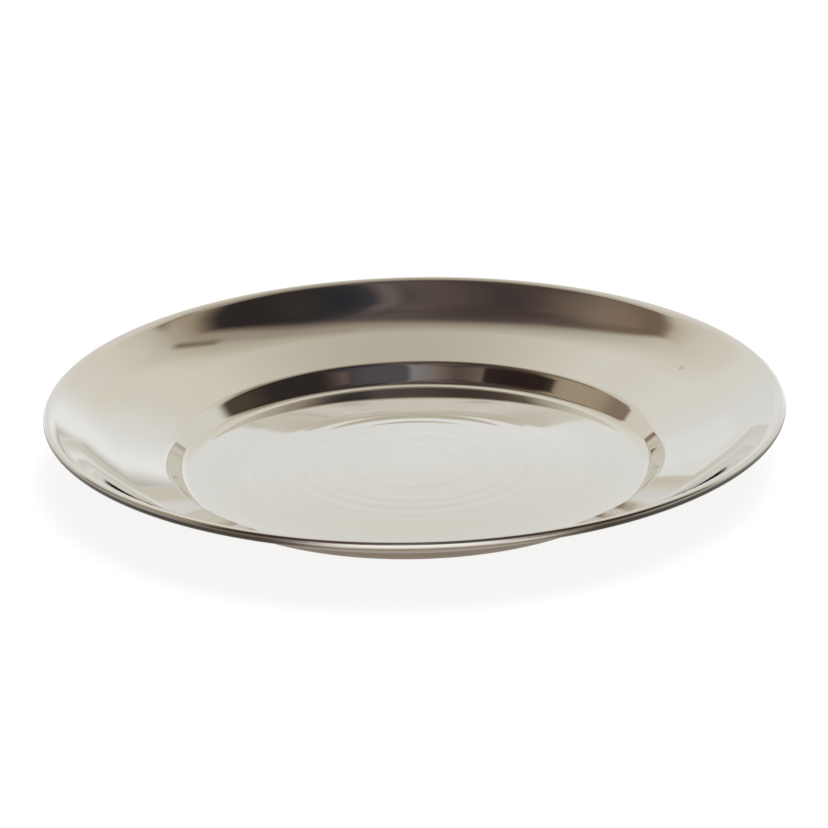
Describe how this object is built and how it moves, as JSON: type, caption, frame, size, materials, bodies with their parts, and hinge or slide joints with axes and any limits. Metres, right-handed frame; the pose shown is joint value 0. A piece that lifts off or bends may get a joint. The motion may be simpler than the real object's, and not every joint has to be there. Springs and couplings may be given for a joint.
{
  "type": "thali plate",
  "caption": "Round deep thali plate pressed from one polished stainless-steel sheet, with a slightly crowned base, a step, a flared wall and a rolled rim.",
  "frame": {"origin": "on the plate's axis, at the level of the surface that it stands on", "axes": "+Z along the plate's axis, up out of the well; the plate is a body of revolution, so +X and +Y are any two directions square to it"},
  "size_m": [0.261, 0.261, 0.0267],
  "materials": {
    "polished_steel": "polished"
  },
  "bodies": {
    "root": {"plate": "polished_steel"}
  },
  "joints": []
}
